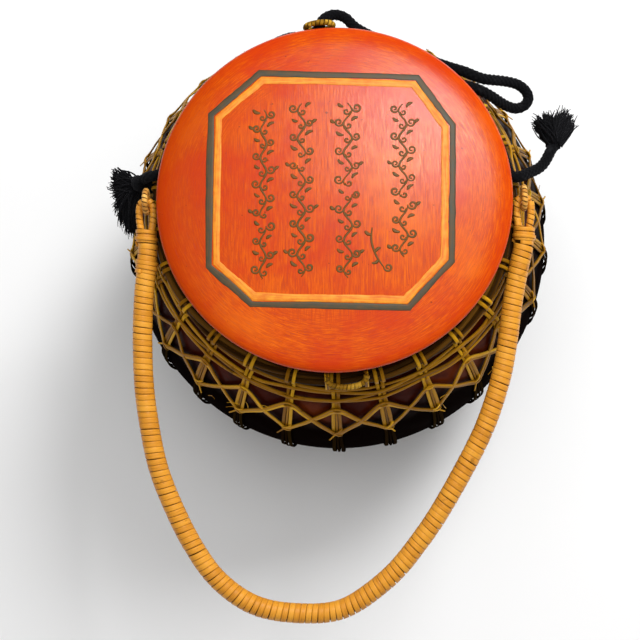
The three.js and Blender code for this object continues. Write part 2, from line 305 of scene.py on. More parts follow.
# ---- Materials ----
class Look:
    """A node material in the making. Colours are linear RGB."""

    def __init__(self, name, **sockets):
        self.material = bpy.data.materials.new(name)
        self.material.use_nodes = True
        self.tree = self.material.node_tree
        self.shader = self.tree.nodes["Principled BSDF"]
        for socket, value in sockets.items():
            self.shader.inputs[socket.replace("_", " ")].default_value = value

    def node(self, kind, inputs=(), **settings):
        made = self.tree.nodes.new("ShaderNode" + kind)
        for name, value in settings.items():
            setattr(made, name, value)
        for place, value in enumerate(inputs):
            self.feed(made.inputs[place], value)
        return made

    def feed(self, socket, value):
        if isinstance(value, bpy.types.NodeSocket):
            self.tree.links.new(value, socket)
        elif value is not None:
            socket.default_value = value

    def place(self):
        return self.node("TexCoord").outputs["Object"]

    def millimetres(self):
        """The place in millimetres, as x, y and z."""
        return self.parts(self.stretch(self.place(), (1 / MM, 1 / MM, 1 / MM)))

    def grain(self):
        """The (across, along, tint) that the mesh's points keep."""
        return self.node("Attribute", attribute_name="grain").outputs["Vector"]

    def parts(self, vector):
        return self.node("SeparateXYZ", [vector]).outputs

    def vector(self, x, y, z):
        return self.node("CombineXYZ", [x, y, z]).outputs[0]

    def stretch(self, vector, scale):
        return self.node("VectorMath", [vector, scale], operation="MULTIPLY").outputs[0]

    def noise(self, vector, scale, detail=3.0, roughness=0.55, distortion=0.0):
        made = self.node("TexNoise")
        self.feed(made.inputs["Vector"], vector)
        made.inputs["Scale"].default_value = scale
        made.inputs["Detail"].default_value = detail
        made.inputs["Roughness"].default_value = roughness
        made.inputs["Distortion"].default_value = distortion
        return made.outputs["Fac"]

    def math(self, operation, a, b=None):
        return self.node("Math", [a, b], operation=operation).outputs[0]

    def times(self, a, b):
        return self.math("MULTIPLY", a, b)

    def add(self, a, b, b_share=1.0, a_share=1.0):
        """The sum of a and b, each times its share."""
        return self.math("ADD", self.times(a, a_share), self.times(b, b_share))

    def between(self, value, low, high, to_low=0.0, to_high=1.0):
        """The value taken smoothly from low..high to another range, and held at its ends."""
        values = [value, low, high, to_low, to_high]
        return self.node("MapRange", values, interpolation_type="SMOOTHSTEP").outputs[0]

    def ramp(self, factor, *stops):
        """A colour for the factor from (place, colour) stops."""
        made = self.node("ValToRGB", [factor])
        band = made.color_ramp.elements
        while len(band) < len(stops):
            band.new(0.5)
        for element, (place, colour) in zip(band, stops):
            element.position = place
            element.color = (*colour, 1)
        return made.outputs[0]

    def mix(self, factor, a, b):
        made = self.node("Mix", data_type="RGBA")
        self.feed(made.inputs[0], factor)
        for socket, value in ((made.inputs[6], a), (made.inputs[7], b)):
            self.feed(socket, (*value, 1) if isinstance(value, tuple) else value)
        return made.outputs[2]

    def colour(self, value):
        self.feed(self.shader.inputs["Base Color"], value)

    def roughness(self, value):
        self.feed(self.shader.inputs["Roughness"], value)

    def lay_painted_shade(self, amount, colour):
        """Lays painted shade over the shader: a flat dark diffuse layer, by a share: nothing at 0, all at 1."""
        shade_layer = self.node("BsdfDiffuse")
        self.feed(shade_layer.inputs["Color"], (*colour, 1))
        over = self.node("MixShader", [amount, self.shader.outputs[0], shade_layer.outputs[0]])
        self.tree.links.new(over.outputs[0], self.tree.nodes["Material Output"].inputs["Surface"])

    def bump(self, height, distance, strength=1.0):
        made = self.node("Bump")
        made.inputs["Strength"].default_value = strength
        made.inputs["Distance"].default_value = distance * MM
        self.feed(made.inputs["Height"], height)
        self.feed(self.shader.inputs["Normal"], made.outputs[0])


def lid_lacquer():
    """Orange lacquer, brushed round the border and straight across the middle, with dark specks, and painted
    shade that darkens its left side.
    """
    look = Look("lid_lacquer", Specular_IOR_Level=0.22)
    place = look.place()
    x, y, _ = look.millimetres()
    angle = look.math("ARCTAN2", y, x)
    radius = look.math("SQRT", look.math("ADD", look.times(x, x), look.times(y, y)))
    turned = look.vector(look.times(angle, 11.0), look.times(radius, 1.3), 0.0)
    round_strokes = look.noise(turned, 1.0, 5.0, 0.65, 0.4)
    straight = look.vector(look.times(x, 1.2), look.times(y, 0.075), 3.0)
    straight_strokes = look.noise(straight, 1.0, 5.0, 0.65, 0.6)
    border = look.between(look.add(radius, straight_strokes, 20.0), 84.0, 104.0)
    strokes = look.add(round_strokes, straight_strokes, look.math("SUBTRACT", 1.0, border), border)
    patches = look.noise(place, 16.0, 4.0, 0.6, 0.3)
    # Painted shade: the lid is darkened towards its left side, away from the light.
    painted_shade_left = look.between(look.add(x, patches, 40.0), -95.0, -30.0, 0.55, 0.0)
    specks = look.between(look.noise(place, 900.0, 2.0, 0.5), 0.70, 0.76)
    flecks = look.between(look.noise(place, 260.0, 2.0, 0.5), 0.73, 0.78)
    base = look.ramp(look.between(strokes, 0.2, 0.8), (0.0, (0.36, 0.026, 0.0005)),
                     (0.5, (0.60, 0.070, 0.0008)), (1.0, (0.78, 0.15, 0.002)))
    for share, colour in (
        (look.between(patches, 0.42, 0.66, 0.0, 0.65), (0.52, 0.022, 0.003)),
        (look.between(patches, 0.30, 0.46, 0.5, 0.0), (0.74, 0.14, 0.002)),
        (look.between(radius, 109.0, 117.0, 0.0, 0.45), (0.58, 0.04, 0.003)),
        (painted_shade_left, (0.38, 0.034, 0.0004)),
        (look.times(specks, 0.55), (0.18, 0.02, 0.004)),
        (look.times(flecks, 0.7), (0.1, 0.015, 0.004)),
    ):
        base = look.mix(share, base, colour)
    look.colour(base)
    look.roughness(look.between(strokes, 0.3, 0.7, 0.29, 0.19))
    look.bump(look.add(strokes, patches, 0.4), 0.12, 0.55)
    return look.material


def bowl_lacquer():
    """Maroon lacquer, clouded and streaked, that turns nearly black down the bowl: painted shade, with a dark
    diffuse layer of painted shade over the lower part that also hides its reflections.
    """
    look = Look("bowl_lacquer", Specular_IOR_Level=0.06)
    place = look.place()
    z = look.millimetres()[2]
    cloud = look.noise(place, 22.0, 5.0, 0.6, 0.5)
    streak = look.noise(look.stretch(place, (60.0, 60.0, 240.0)), 1.0, 4.0, 0.6)
    upper = look.ramp(look.between(cloud, 0.3, 0.7), (0.0, (0.034, 0.0025, 0.0005)),
                      (0.5, (0.085, 0.008, 0.001)), (1.0, (0.21, 0.035, 0.004)))
    # Painted shade: the near-black colour of the lower bowl.
    lower = look.mix(cloud, (0.004, 0.0015, 0.001), (0.014, 0.004, 0.002))
    height = look.add(z, cloud, 26.0)
    base = look.mix(look.between(height, 196.0, 226.0), lower, upper)
    look.colour(look.mix(look.between(streak, 0.62, 0.8, 0.0, 0.5), base, (0.2, 0.06, 0.02)))
    look.roughness(look.between(look.noise(place, 70.0, 4.0), 0.3, 0.7, 0.28, 0.48))
    look.bump(look.add(cloud, streak, 0.25), 0.25, 0.5)
    # Painted shade: a near-black diffuse layer, nearly all of it over the lower bowl and about a third over the
    # rest, which also hides reflections.
    look.lay_painted_shade(look.between(height, 196.0, 222.0, 0.98, 0.35), (0.0025, 0.0007, 0.0004))
    return look.material


def cane(name, dark, middle, light, painted_shade_below=None, edge_shade=0.75, patchy=0.45, gloss=0.2):
    """Split cane: fibres along it, a shade for each strand or turn, edges darkened with painted shade where
    strips meet, and stains; it can also be turned nearly black below a height, which is painted shade.
    """
    look = Look(name, Specular_IOR_Level=gloss)
    grain = look.grain()
    across, _, tint = look.parts(grain)
    lines = look.noise(look.stretch(grain, (5.0, 0.09, 40.0)), 1.0, 4.0, 0.7)
    fine = look.noise(look.stretch(grain, (16.0, 0.25, 90.0)), 1.0, 2.0, 0.5)
    shade = look.add(lines, tint, patchy, 1.0 - patchy)
    base = look.ramp(shade, (0.2, dark), (0.5, middle), (0.8, light))
    # Painted shade: the strip's edges, where turns and strands meet, are darkened.
    edge = look.between(look.math("ABSOLUTE", across), 0.72, 1.0)
    base = look.mix(look.times(edge, edge_shade), base, tuple(c * 0.35 for c in dark))
    stain = look.between(look.noise(look.place(), 75.0, 4.0, 0.65, 0.6), 0.62, 0.76)
    look.colour(look.mix(look.times(stain, 0.6), base, tuple(c * 0.45 for c in dark)))
    # Painted shade: below the given heights the cane turns nearly black under a dark diffuse layer.
    if painted_shade_below:
        look.lay_painted_shade(look.between(look.millimetres()[2], *painted_shade_below, 0.97, 0.0), tuple(c * 0.045 for c in dark))
    look.roughness(look.between(lines, 0.3, 0.7, 0.36, 0.56))
    look.bump(look.add(lines, fine, 0.3, 0.7), 0.12, 0.7)
    return look.material


def cotton():
    """Soft black cotton yarn with a dusty sheen."""
    look = Look("cotton", Roughness=0.95, Sheen_Weight=0.08, Sheen_Roughness=0.5, Specular_IOR_Level=0.08)
    look.shader.inputs["Sheen Tint"].default_value = (0.5, 0.5, 0.55, 1)
    place = look.place()
    fuzz = look.noise(place, 2600.0, 3.0, 0.7)
    dust = look.noise(place, 120.0, 3.0, 0.6)
    base = look.mix(look.between(fuzz, 0.35, 0.75), (0.0022, 0.0022, 0.0026), (0.008, 0.008, 0.0095))
    base = look.mix(look.between(dust, 0.6, 0.8, 0.0, 0.5), base, (0.02, 0.02, 0.022))
    look.colour(base)
    look.bump(fuzz, 0.3, 0.9)
    return look.material


def paint(name, thin, full):
    """Streaky brushed paint."""
    look = Look(name, Specular_IOR_Level=0.3)
    bristle = look.noise(look.stretch(look.grain(), (3.5, 0.05, 30.0)), 1.0, 4.0, 0.65)
    cloud = look.noise(look.place(), 190.0, 4.0, 0.6)
    cover = look.add(bristle, cloud, 0.35, 0.65)
    look.colour(look.ramp(look.between(cover, 0.36, 0.62), (0.0, thin), (1.0, full)))
    look.roughness(look.between(cover, 0.3, 0.7, 0.5, 0.38))
    look.bump(bristle, 0.08, 0.6)
    return look.material


# Each finish pairs a material with the name of a record slot; only the material is put on the pieces.
LID_LACQUER = lid_lacquer(), "orange_lacquer"
BOWL_LACQUER = bowl_lacquer(), "dark_lacquer"
BINDING_CANE = cane("binding_cane", (0.42, 0.17, 0.03), (0.78, 0.37, 0.065), (0.9, 0.52, 0.14)), "binding_cane"
# The net and the columns turn nearly black low down: painted shade.
NET_CANE = cane("net_cane", (0.055, 0.020, 0.0005), (0.37, 0.16, 0.003), (0.88, 0.49, 0.02),
                painted_shade_below=(170.0, 182.0), edge_shade=0.6, gloss=0.1), "net_cane"
COLUMN_CANE = cane("column_cane", (0.052, 0.019, 0.0005), (0.33, 0.14, 0.003), (0.80, 0.44, 0.018),
                   painted_shade_below=(181.0, 189.0), edge_shade=0.6, gloss=0.1), "net_cane"
HANDLE_CANE = cane("handle_cane", (0.46, 0.16, 0.012), (0.74, 0.30, 0.022), (0.86, 0.42, 0.05),
                   edge_shade=0.45, patchy=0.22, gloss=0.4), "binding_cane"
RING_CANE = cane("ring_cane", (0.10, 0.045, 0.003), (0.36, 0.18, 0.010), (0.72, 0.43, 0.05),
                 gloss=0.1), "binding_cane"
HOOP_RATTAN = cane("hoop_rattan", (0.022, 0.009, 0.001), (0.07, 0.028, 0.003), (0.19, 0.085, 0.010),
                   gloss=0.05), "hoop_rattan"
COTTON = cotton(), "black_cotton"
OLIVE_PAINT = paint("olive_paint", (0.11, 0.06, 0.02), (0.05, 0.05, 0.032)), "orange_lacquer"
GOLD_PAINT = paint("gold_paint", (0.66, 0.14, 0.006), (0.80, 0.31, 0.018)), "orange_lacquer"
SCROLL_INK = paint("scroll_ink", (0.2, 0.065, 0.004), (0.085, 0.055, 0.007)), "orange_lacquer"


# ---- Camera ----
def aim(thing, target):
    """Points a camera or lamp at a place, in metres, with +Y up in its view."""
    back = (thing.location - Vector(target)).normalized()
    right = Vector((0, 1, 0)).cross(back).normalized()
    up = back.cross(right)
    thing.rotation_euler = Matrix((right, up, back)).transposed().to_euler()


camera_data = bpy.data.cameras.new("camera")
camera_data.lens = 83.48
camera_data.clip_start = 0.05
camera = bpy.data.objects.new("camera", camera_data)
bpy.context.scene.collection.objects.link(camera)
camera.location = (0.0240, -0.2746, 1.2333)
aim(camera, (-0.0093, -0.0848, 0.2720))
bpy.context.scene.camera = camera


# ---- Bowl and lid ----
def bowl_shell():
    """The turned bowl: a round belly on a small flat foot, with a short straight neck."""

    def arc(radius, start, end, count):
        angle = np.linspace(start, end, count)
        return [(radius * math.cos(a), BOWL_CENTRE_Z + radius * math.sin(a)) for a in angle]

    inner, mouth, bevel = BOWL_RADIUS - BOWL_WALL, NECK_RADIUS - NECK_WALL, 0.8
    outside = arc(BOWL_RADIUS, -math.acos(FOOT_RADIUS / BOWL_RADIUS), math.acos(NECK_RADIUS / BOWL_RADIUS), 90)
    inside = arc(inner, math.acos(mouth / inner), -math.acos((FOOT_RADIUS - BOWL_WALL) / inner), 60)
    lip = [(NECK_RADIUS, NECK_TOP_Z - bevel), (NECK_RADIUS - bevel, NECK_TOP_Z), (mouth + bevel, NECK_TOP_Z),
           (mouth, NECK_TOP_Z - bevel)]
    pile = Pile()
    pile.turned([(0, 0), (FOOT_RADIUS - 1.5, 0), *outside, *lip, *inside, (0, inside[-1][1])], 200)
    pile.make("turned_bowl", BOWL_LACQUER, "bowl_shell", merge=True)


# The lid's outline from the middle of its top round the rim to its lower edge, as [radius, z].
LID_EDGE = smooth_path(
    [(radius, LID_TOP_Z - below) for radius, below in (
        (0, 0), (34, 0.3), (67.2, 1.2), (95, 2.5), (110, 3.7), (116.4, 5.2), (119.3, 6.9), (120, 8.4),
        (119.5, 10.6), (118.4, 12.2), (117.2, 13))], 1.6,
)


def dome(points):
    """Places points given as (x, y) on top of the lid."""
    points = np.asarray(points, float)
    rising = LID_EDGE[:, 0].argmax()
    z = np.interp(np.hypot(points[:, 0], points[:, 1]), LID_EDGE[:rising, 0], LID_EDGE[:rising, 1])
    return np.column_stack([points, z])


def lid():
    """The painted disc, its dark base and the ring that centres it in the bowl's mouth."""
    (_, _, base_low), (base, _, base_high) = corners("lid_base")
    (_, _, ring_low), (ring, _, ring_high) = corners("lid_spigot")
    hole = ring - 9
    for name, finish, node, segments, merge, profile in (
        ("painted_lid", LID_LACQUER, "lid_disc", 256, True, [*LID_EDGE, (0, LID_EDGE[-1][1])]),
        ("lid_underside", BOWL_LACQUER, "lid_base", 200, True,
         [(0, base_low), (base - 0.6, base_low), (base, base_low + 0.6), (base, base_high - 0.3),
          (base - 0.3, base_high), (0, base_high)]),
        ("lid_rebate", BOWL_LACQUER, "lid_spigot", 160, False,
         [(hole, ring_high), (hole, ring_low + 1), (hole + 1, ring_low), (ring - 1, ring_low),
          (ring, ring_low + 1), (ring, ring_high)]),
    ):
        pile = Pile()
        pile.turned(profile, segments)
        pile.make(name, finish, node, body="lid", merge=merge)


# ---- Paint on the lid ----
OCTAGON = np.array([(-50.7, 87.6), (58.1, 83.3), (82.5, 47.6), (80.1, -47.8),
                    (50.1, -80), (-55.4, -77.2), (-84.9, -49.9), (-85.1, 57.3)])


def inset(distance):
    """The octagon's corners moved in by a distance."""
    edge = unit(np.roll(OCTAGON, -1, axis=0) - OCTAGON)
    inward = np.column_stack([edge[:, 1], -edge[:, 0]])
    before = np.roll(inward, 1, axis=0)
    along = 1 + (inward * before).sum(axis=1, keepdims=True)
    return OCTAGON + distance * (inward + before) / along


def stripe(name, finish, start, end):
    """A painted stripe round the octagon, between two distances in from its corners."""
    sides = []
    share = np.linspace(0, 1, 40, endpoint=False)[:, None]
    for outline in (inset(start), inset(end)):
        onward = np.roll(outline, -1, axis=0)
        walk = np.vstack([here + (there - here) * share for here, there in zip(outline, onward)])
        travel = directions(walk, closed=True)
        across = np.column_stack([-travel[:, 1], travel[:, 0]])
        sway = wander(len(walk), 13, 0.32, closed=True) + wander(len(walk), 3, 0.11, closed=True)
        sides.append(walk + across * sway[:, None])
    pile = Pile()
    places = np.array([0, 0.08, 0.3, 0.5, 0.7, 0.92, 1, 1, 0])
    lift = [0.02, 0.14, 0.19, 0.2, 0.19, 0.14, 0.02, -0.4, -0.4]
    rings = np.stack([dome(sides[0] + (sides[1] - sides[0]) * place) for place in places], axis=1)
    rings[..., 2] += lift
    pile.skin(rings, places * 2 - 1, travelled(sides[0]), 0.5, closed=True)
    pile.make(name, finish, body="lid")


def stroke(pile, points, width, taper=0.35):
    """A brush stroke on the lid, which swells in the middle."""
    path = smooth_path(points, 0.7)
    share = np.linspace(0, 1, len(path))
    swell = taper + (1 - taper) * np.sin(math.pi * np.clip(share * 0.94 + 0.03, 0, 1)) ** 0.55
    wide = width * swell * (1 + wander(len(path), 9, 0.08))
    path = dome(path) + (0, 0, 0.02)
    upward = np.tile([0, 0, 1.0], (len(path), 1))
    pile.strip(path, upward, wide, 0.3, random.uniform(0.3, 0.7), section=BRUSH_SECTION)


def curl(pile, start, side, size, width, turns=1.35):
    """A spiral tendril that leaves the stem to one side and rolls inward."""
    t = np.linspace(0, 1, 16)
    angle = 2 * math.pi * turns * t
    radius = size * (1 - 0.78 * t)
    centre = np.array(start) + (side * size, 0)
    points = centre + np.column_stack([-side * radius * np.cos(angle), -radius * np.sin(angle)])
    stroke(pile, points, width, 0.5)


def leaf(pile, start, heading, length):
    """A pointed leaf: one short stroke, wide in the middle."""
    start = np.array(start, float)
    heading = unit(np.array(heading, float))
    bow = np.array([-heading[1], heading[0]]) * length * 0.16
    stroke(pile, [start, start + heading * length * 0.5 + bow, start + heading * length], 2.3, 0.08)


def vine(pile, x, top, bottom, sway, flip):
    """A column of vine: a swaying stem with rolled tendrils and leaves to each side by turns."""
    count = int((top - bottom) / 9.6)
    step = (top - bottom) / count
    share = np.linspace(0, count, count * 4 + 1)
    stem_x = x + flip * sway * np.sin(math.pi * share)
    stem_y = top - share * step
    gap = random.integers(3, count - 2) * 4
    stroke(pile, np.column_stack([stem_x[:gap], stem_y[:gap]]), 1.5)
    stroke(pile, np.column_stack([stem_x[gap + 2:], stem_y[gap + 2:]]), 1.5)
    for number in range(count):
        y = top - (number + 0.5) * step
        side = flip * (1 if number % 2 == 0 else -1)
        size = random.uniform(2.6, 3.3)
        curl(pile, (x + side * sway, y + size * 0.5), side, size, random.uniform(1.25, 1.6))
        curl(pile, (x + side * sway * 0.6, y - 1.0), -side, size * 0.72, 1.3, 1.1)
        heading = (-side, random.uniform(0.4, 0.9))
        leaf(pile, (x - side * (sway * 0.3 + 1.8), y + 2.4), heading, random.uniform(4.2, 6.0))
        if number % 3 == 1:
            leaf(pile, (x + side * (sway + 2 * size - 0.4), y + 1.2), (side, 0.8), 3.6)


def lid_paint():
    """The double stripe, four columns of vine and a small sprig between the last two."""
    stripe("olive_stripe", OLIVE_PAINT, 0.0, 4.4)
    stripe("gold_stripe", GOLD_PAINT, 4.7, 9.6)
    pile = Pile()
    for column in ((-47.0, 59.0, -58.0, 2.0, 1), (-21.5, 63.0, -57.0, 2.6, -1), (9.5, 63.0, -58.0, 2.8, 1),
                   (46.5, 62.0, -44.0, 2.6, -1)):
        vine(pile, *column)
    stroke(pile, [(25.5, -24), (25, -33), (28, -43), (33, -51)], 1.5, 0.3)
    curl(pile, (33, -51), 1, 2.9, 1.4)
    leaf(pile, (25.2, -29), (-1, 0.6), 5.2)
    leaf(pile, (27.4, -41), (1, 0.9), 5.0)
    leaf(pile, (29.6, -46), (-1, -0.5), 5.0)
    pile.make("vine_scroll", SCROLL_INK, body="lid")


# ---- Cane net ----
def on_bowl(azimuth, elevation, reach):
    """Points at a distance from the middle of the bowl, by azimuth and by elevation in degrees."""
    elevation = np.radians(elevation)
    return round_axis(reach * np.cos(elevation), azimuth, BOWL_CENTRE_Z + reach * np.sin(elevation))


def away(points):
    """The way out from the middle of the bowl."""
    return unit(points - np.array([0, 0, BOWL_CENTRE_Z]))


def round_hoop(hoop, azimuth, angles, shift):
    """A way round a hoop's rod and the way out from it at each point, by angle in degrees: 90 is up."""
    radius, z = hoop
    angles, turn = np.radians(angles), azimuth + shift / radius
    size = HOOP_ROD + 0.75
    path = round_axis(radius + size * np.cos(angles), turn, z + size * np.sin(angles))
    return path, unit(path - round_axis(radius, turn, z))


# Elevations are in degrees above the middle of the bowl. NET_REACH is the net's distance from that middle.
BAND_ELEVATIONS = (37.0, 35.2, 33.5, 31.8)
ZIGZAG_HIGH, ZIGZAG_LOW = 29.4, 17.6
NET_REACH = 156.5
BAND_STEPS = 24
ZIGZAG_STEPS = 30
NET_FLAT_RADIUS = 125.0
COLUMN_AZIMUTHS = FRONT + np.arange(STAKE_COUNT) * STAKE_STEP
LEAN = random.normal(0, 0.006, STAKE_COUNT)
BAND_SWAY = [wander(STAKE_COUNT * BAND_STEPS, 22, 0.6, closed=True) for _ in BAND_ELEVATIONS]


def leaning(number, elevation):
    """The azimuth of a column at an elevation. Each column leans a little."""
    return COLUMN_AZIMUTHS[number] + LEAN[number] * (38 - elevation) / 40


def near_column(azimuth, spread):
    """How near each azimuth is to a column, from 0 to 1, and that column's number."""
    number = np.round((azimuth - FRONT) / STAKE_STEP).astype(int)
    off = (azimuth - FRONT - number * STAKE_STEP) * NET_FLAT_RADIUS
    return hump(off, spread), number


def hoop(node, size):
    """A hoop of three rattan rods laid side by side with a slow twist."""
    pile = Pile()
    radius, z = size
    azimuth = np.linspace(0, 2 * math.pi, 421)
    off = 2.25
    for rod in range(3):
        phase = 2 * math.pi * rod / 3 + azimuth * 4 + 0.8
        path = round_axis(radius + off * np.cos(phase), azimuth, z + off * np.sin(phase))
        pile.tube(path, 2.15 + wander(len(path), 20, 0.06), rod / 3 + 0.15)
    pile.make(f"{node}_rods", HOOP_RATTAN, node)


def columns():
    """Doubled cane strips from over the neck hoop, down the bowl, to round the foot hoop."""
    pile = Pile()
    elevation = np.concatenate([np.linspace(38.0, 12.0, 44), np.linspace(10.0, -49.0, 26)])
    spread = 2.4 + (1.55 - 2.4) * hump(elevation - 33, 6)
    open_out = 1.9 + 1.3 * np.clip((ZIGZAG_LOW - elevation) / 14, 0, 1)
    spread = np.where(elevation < ZIGZAG_LOW, open_out, spread)
    between_hoops = slice(8, -4)
    for number, azimuth in enumerate(COLUMN_AZIMUTHS):
        rise = np.zeros(len(elevation))
        for strand, centre in enumerate(BAND_ELEVATIONS):
            centre = centre + BAND_SWAY[strand][number * BAND_STEPS]
            rise += (1.35 if (number + strand) % 2 else -0.2) * hump(elevation - centre, 0.75)
        down = leaning(number, elevation)
        for side in (-1, 1):
            turn = down + side * spread / (NET_REACH * np.cos(np.radians(elevation)))
            body = on_bowl(turn, elevation, NET_REACH + rise + 0.2 * side)
            over, over_out = round_hoop(NECK_HOOP, azimuth, np.linspace(222, -80, 20), side * 2.3)
            under, under_out = round_hoop(FOOT_HOOP, down[-1], np.linspace(40, -170, 10), side * 2.6)
            path, facing = np.vstack([over, body, under]), np.vstack([over_out, away(body), under_out])
            width = 2.7 * (1 + wander(len(path), 12, 0.06))
            pile.strip(path, facing, width, 1.15, np.clip(random.normal(0.62, 0.2), 0, 1))
        path = on_bowl(down[between_hoops], elevation[between_hoops], NET_REACH + rise[between_hoops] + 0.35)
        pile.strip(path, away(path), 1.5, 0.8, random.uniform(0.1, 0.6))
    stakes = [f"stake_{number + 1:02d}" for number in range(STAKE_COUNT)]
    pile.make("net_columns", COLUMN_CANE, *stakes)


def band():
    """Four strands that run round the shoulder, over and under the columns by turns."""
    pile = Pile()
    count = STAKE_COUNT * BAND_STEPS
    azimuth = FRONT + np.arange(count) * 2 * math.pi / count
    near, number = near_column(azimuth, 4.2)
    for strand, centre in enumerate(BAND_ELEVATIONS):
        over = (number + strand) % 2 == 0
        reach = NET_REACH + 0.35 + near * np.where(over, 1.15, -0.75)
        elevation = centre + BAND_SWAY[strand] + 0.25 * near * np.where(over, 1, -1)
        path = on_bowl(azimuth, elevation, reach)
        width = 3.0 * (1 + wander(count, 30, 0.13, closed=True))
        tint = np.clip(0.5 + wander(count, 60, 0.22, closed=True), 0, 1)
        pile.strip(path, away(path), width, 1.35, tint, closed=True)
    strands = [f"band_strand_{number}" for number in (1, 2, 3)]
    pile.make("net_band", NET_CANE, *strands)


def zigzag(side, layer):
    """A doubled strand that swings between the band and the open net, a turn at every column."""
    pile = Pile()
    count = STAKE_COUNT * ZIGZAG_STEPS
    azimuth = FRONT + np.arange(count) * 2 * math.pi / count
    place = (azimuth - FRONT) / STAKE_STEP + layer
    pointed = 0.975
    swing = np.arcsin(pointed * np.cos(math.pi * place)) / math.asin(pointed)
    near, _ = near_column(azimuth, 3.4)
    middle = sum(hump((place - 0.5) % 1 - cross, 0.16) for cross in (0, 1))
    crossing = np.floor(place).astype(int) % 2 == layer
    centre = (ZIGZAG_HIGH + ZIGZAG_LOW) / 2 + (ZIGZAG_HIGH - ZIGZAG_LOW) / 2 * swing
    for lane in (-1, 1):
        elevation = centre + lane * 0.5 + wander(count, 24, 0.28, closed=True)
        reach = NET_REACH + 0.3 + 1.25 * near + middle * np.where(crossing, 0.75, -0.5) + 0.15 * lane
        path = on_bowl(azimuth, elevation, reach)
        width = 2.6 * (1 + wander(count, 24, 0.12, closed=True))
        tint = np.clip(0.55 + wander(count, 50, 0.24, closed=True), 0, 1)
        pile.strip(path, away(path), width, 1.2, tint, closed=True)
    pile.make(f"net_zigzag_{side}", NET_CANE, f"zigzag_{side}")


def ties():
    """Short wraps that bind the crossings to the columns, cut ends and stray fibres."""
    pile = Pile()
    # For each wrap: elevation, half its width, turns.
    wraps = ((38.9, 4.3, 1), (ZIGZAG_HIGH - 0.4, 3.4, 1), (ZIGZAG_LOW + 0.5, 3.4, 2))
    angle = np.linspace(-0.35, math.pi + 0.35, 18)
    for number, azimuth in enumerate(COLUMN_AZIMUTHS):
        for elevation, half, turns in wraps:
            flat_radius = NET_REACH * math.cos(math.radians(elevation))
            for turn in range(turns):
                beside = turn - (turns - 1) / 2
                slope = random.uniform(-0.5, 0.5) + beside * 1.6
                turned_to = leaning(number, elevation) + np.cos(angle) * half / flat_radius
                lifted = elevation + slope * np.cos(angle) + beside * 1.3
                path = on_bowl(turned_to, lifted, NET_REACH + 0.1 + 2.1 * np.clip(np.sin(angle), -0.3, 1))
                pile.strip(path, away(path), random.uniform(1.6, 2.2), 0.8, random.uniform(0.3, 1.0))
        if random.uniform() < 0.85:
            side = random.choice([-1, 1])
            t = np.linspace(0, 1, 7)
            length = random.uniform(3.5, 6.5)
            turned_to = azimuth + side * (1.5 + length * 0.75 * t) / 148
            path = on_bowl(turned_to, ZIGZAG_LOW - 0.2 - 0.42 * length * t, NET_REACH + 1.6 + 1.6 * t)
            pile.strip(path, away(path), 1.5 * (1 - 0.3 * t), 0.7, random.uniform(0.4, 1.0))
    t = np.linspace(0, 1, 12)
    for _ in range(22):
        azimuth, elevation = random.uniform(-math.pi, math.pi), random.uniform(12, 33)
        heading = random.uniform(-1, 1, 2) * (0.07, 5.5)
        lifted = elevation + heading[1] * t + random.normal(0, 1.2) * t * t
        path = on_bowl(azimuth + heading[0] * t, lifted, NET_REACH + 1.4 + 2.6 * t * t)
        pile.tube(path, 0.34 * (1 - 0.6 * t), random.uniform(0.4, 1), FIBRE_SECTION)
    pile.make("net_ties", NET_CANE)


# ---- Ring loops and their lashings ----
def at_azimuth(azimuth, flat, along, z):
    """Points `flat` out from the axis, `along` to the left of that line and at a height."""
    cosine, sine = math.cos(azimuth), math.sin(azimuth)
    return np.stack([flat * cosine - along * sine, flat * sine + along * cosine, z], axis=-1)


def ring_path(azimuth, foot, half_width, half_height, lean):
    """Points round a ring loop that stands on `foot`, a [radius, z], and leans over by an angle."""
    angle = np.linspace(-math.pi / 2, 1.5 * math.pi, 90)
    along, up = half_width * np.cos(angle), half_height * (1 + np.sin(angle))
    return at_azimuth(azimuth, foot[0] + up * math.sin(lean), along, foot[1] + up * math.cos(lean))


def bail_path(azimuth, foot, half_width, drop, lean):
    """Points along a U that leaves the neck hoop at one end, leans out and comes back at the other."""
    angle = np.linspace(0, math.pi, 70)
    along = half_width * np.cos(angle) * (1 + 0.12 * np.sin(angle))
    up = drop * np.sin(angle) ** 0.8 - 1.5
    return at_azimuth(azimuth, foot[0] + up * math.sin(lean), along, foot[1] + up * math.cos(lean))


def wound_rod(pile, path, radius, pitch, uneven=0.1):
    """A rod of a given outer radius, closely wound with cane."""
    pile.tube(path, radius - 1.0, 0.1)
    wind(pile, Spine(path), radius - 0.45, pitch, pitch * 0.94, 0.95, uneven=uneven, per_turn=14)


